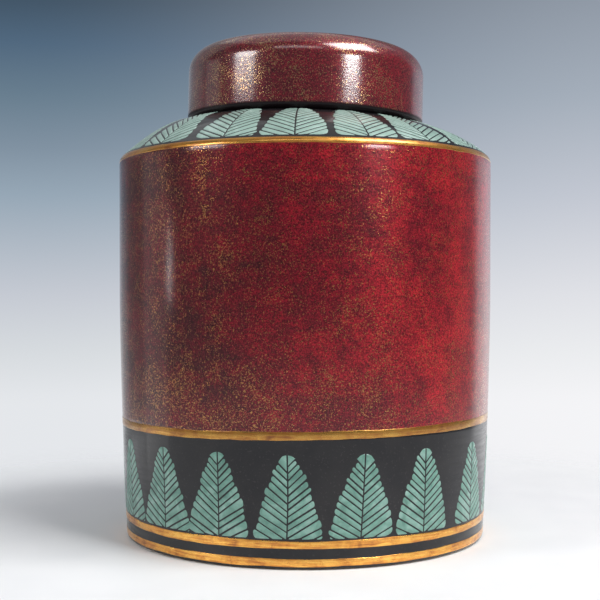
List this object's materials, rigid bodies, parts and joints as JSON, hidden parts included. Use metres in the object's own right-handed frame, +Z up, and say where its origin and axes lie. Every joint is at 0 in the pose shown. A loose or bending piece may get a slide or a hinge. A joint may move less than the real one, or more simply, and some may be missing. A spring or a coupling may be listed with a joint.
{
  "type": "lidded ginger jar",
  "caption": "Cylindrical glazed ceramic jar with a sloping shoulder, a short neck and a cap lid that lifts off, for storage or display.",
  "frame": {"origin": "centre of the plane that the foot ring stands on", "axes": "+Z up along the jar's axis of turning; +X to the right and -Y to the front of the reference view"},
  "size_m": [0.158, 0.158, 0.2063],
  "materials": {
    "red_lustre": "glossy red lustre glaze with gold speckle",
    "lid_lustre": "glossy maroon lustre glaze with dense gold speckle",
    "black_ground": "glossy black glaze",
    "leaf_enamel": "teal green enamel",
    "gilding": "hand-brushed gold lines",
    "clear_glaze": "off-white glaze inside, on the neck and under the foot"
  },
  "bodies": {
    "jar": {"jar_body": "red_lustre"},
    "lid": {"lid": "lid_lustre"}
  },
  "joints": [
    {"name": "lid_lift", "type": "slide", "parent": "jar", "child": "lid", "axis": [0, 0, 1], "range_m": [0, 0.08]}
  ]
}
